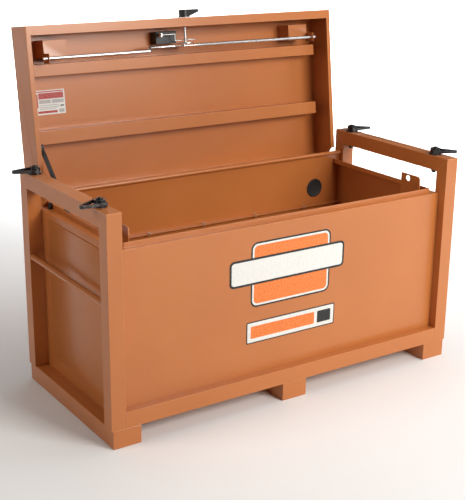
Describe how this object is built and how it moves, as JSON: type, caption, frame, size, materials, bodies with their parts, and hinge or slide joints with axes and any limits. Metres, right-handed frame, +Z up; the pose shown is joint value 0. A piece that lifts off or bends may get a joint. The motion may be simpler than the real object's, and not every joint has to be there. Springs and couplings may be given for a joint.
{
  "type": "job site tool box",
  "caption": "Steel job-site tool chest in a post frame on skids, with a hinged lid on a gas strut, a rod lock and swivel lifting eyes.",
  "frame": {"origin": "on the floor at the centre of the footprint of the four corner posts", "axes": "+Z up, +X to the user's right along the chest, the front faces -Y"},
  "size_m": [1.8229, 0.9753, 1.5154],
  "materials": {
    "orange_paint": "satin powder coat",
    "black_steel": "gloss black",
    "zinc_steel": "bright zinc",
    "rubber": "matte",
    "label": "printed vinyl"
  },
  "bodies": {
    "chest": {"post_front_left": "orange_paint", "post_front_right": "orange_paint", "post_rear_left": "orange_paint", "post_rear_right": "orange_paint", "top_rail_left": "orange_paint", "top_rail_right": "orange_paint", "front_sill": "orange_paint", "rear_sill": "orange_paint", "skid_left": "orange_paint", "skid_middle": "orange_paint", "skid_right": "orange_paint", "floor_pan": "orange_paint", "front_panel": "orange_paint", "rear_panel": "orange_paint", "end_panel_left": "orange_paint", "end_panel_right": "orange_paint", "hand_rail_left": "orange_paint", "hand_rail_right": "orange_paint", "shelf_angle": "orange_paint", "shelf_bolts": "zinc_steel", "cable_port_plug": "rubber", "hinge_bar": "orange_paint", "hinge_leaf_chest": "orange_paint", "hinge_pin": "zinc_steel", "strike_left": "orange_paint", "strike_right": "orange_paint", "strut_stud_chest": "zinc_steel", "eye_bolts": "black_steel", "eye_washers": "zinc_steel", "eye_nuts": "black_steel", "lid_bumper": "rubber", "front_badges": "label"},
    "lid": {"lid_shell": "orange_paint", "lid_end_left": "orange_paint", "lid_end_right": "orange_paint", "lid_stiffener_upper": "orange_paint", "lid_stiffener_lower": "orange_paint", "hinge_leaf_lid": "orange_paint", "padlock_guard_left": "orange_paint", "padlock_guard_right": "orange_paint", "lock_case": "black_steel", "lock_wire": "zinc_steel", "lid_label": "label", "strut_stud_lid": "zinc_steel"},
    "lock_handle": {"lid_handle": "black_steel", "lock_spindle": "zinc_steel", "crank_plate": "zinc_steel"},
    "rod_left": {"lock_rod_left": "zinc_steel"},
    "rod_right": {"lock_rod_right": "zinc_steel"},
    "strut_tube": {"strut_tube": "black_steel"},
    "strut_piston": {"strut_piston": "zinc_steel"},
    "eye_front_left": {"eye_body_front_left": "black_steel"},
    "link_front_left": {"eye_link_front_left": "black_steel"},
    "eye_front_right": {"eye_body_front_right": "black_steel"},
    "link_front_right": {"eye_link_front_right": "black_steel"},
    "eye_rear_left": {"eye_body_rear_left": "black_steel"},
    "link_rear_left": {"eye_link_rear_left": "black_steel"},
    "eye_rear_right": {"eye_body_rear_right": "black_steel"},
    "link_rear_right": {"eye_link_rear_right": "black_steel"}
  },
  "joints": [
    {"name": "lid_hinge", "type": "hinge", "parent": "chest", "child": "lid", "pos_m": [0, 0.36, 0.79], "axis": [1, 0, 0], "range_deg": [0, 97]},
    {"name": "handle_turn", "type": "hinge", "parent": "lid", "child": "lock_handle", "pos_m": [0, 0.50101, 1.47895], "axis": [0, 0.1219, 0.9925], "range_deg": [0, 90]},
    {"name": "rod_left_slide", "type": "slide", "parent": "lid", "child": "rod_left", "axis": [-1, 0, 0], "range_m": [0, 0.0401]},
    {"name": "rod_right_slide", "type": "slide", "parent": "lid", "child": "rod_right", "axis": [1, 0, 0], "range_m": [0, 0.0401]},
    {"name": "strut_pivot", "type": "hinge", "parent": "lid", "child": "strut_tube", "pos_m": [-0.736, 0.42057, 0.99615], "axis": [1, 0, 0], "range_deg": [-88.2, 0]},
    {"name": "strut_stroke", "type": "slide", "parent": "strut_tube", "child": "strut_piston", "axis": [0, -0.7315, -0.6818], "range_m": [-0.3125, 0]},
    {"name": "eye_front_left_swivel", "type": "hinge", "parent": "chest", "child": "eye_front_left", "pos_m": [-0.819, -0.271, 0.935], "axis": [0, 0, 1], "continuous": true},
    {"name": "link_front_left_fold", "type": "hinge", "parent": "eye_front_left", "child": "link_front_left", "pos_m": [-0.819, -0.271, 0.936], "axis": [-0.2924, 0.9563, 0], "range_deg": [0, 100]},
    {"name": "eye_front_right_swivel", "type": "hinge", "parent": "chest", "child": "eye_front_right", "pos_m": [0.819, -0.271, 0.935], "axis": [0, 0, 1], "continuous": true},
    {"name": "link_front_right_fold", "type": "hinge", "parent": "eye_front_right", "child": "link_front_right", "pos_m": [0.819, -0.271, 0.936], "axis": [-0.6691, -0.7431, 0], "range_deg": [0, 100]},
    {"name": "eye_rear_left_swivel", "type": "hinge", "parent": "chest", "child": "eye_rear_left", "pos_m": [-0.819, 0.299, 0.935], "axis": [0, 0, 1], "range_deg": [-100, 100]},
    {"name": "link_rear_left_fold", "type": "hinge", "parent": "eye_rear_left", "child": "link_rear_left", "pos_m": [-0.819, 0.299, 0.936], "axis": [0.0698, 0.9976, 0], "range_deg": [0, 100]},
    {"name": "eye_rear_right_swivel", "type": "hinge", "parent": "chest", "child": "eye_rear_right", "pos_m": [0.819, 0.299, 0.935], "axis": [0, 0, 1], "range_deg": [-100, 100]},
    {"name": "link_rear_right_fold", "type": "hinge", "parent": "eye_rear_right", "child": "link_rear_right", "pos_m": [0.819, 0.299, 0.936], "axis": [-0.342, -0.9397, 0], "range_deg": [0, 100]}
  ],
  "couplings": [
    {"joint": "rod_left_slide", "follows": "handle_turn", "m_per_rad": 0.025465},
    {"joint": "rod_right_slide", "follows": "handle_turn", "m_per_rad": 0.025465},
    {"joint": "strut_pivot", "follows": "lid_hinge", "ratio": -0.90565},
    {"joint": "strut_stroke", "follows": "lid_hinge", "m_per_rad": -0.18384}
  ]
}
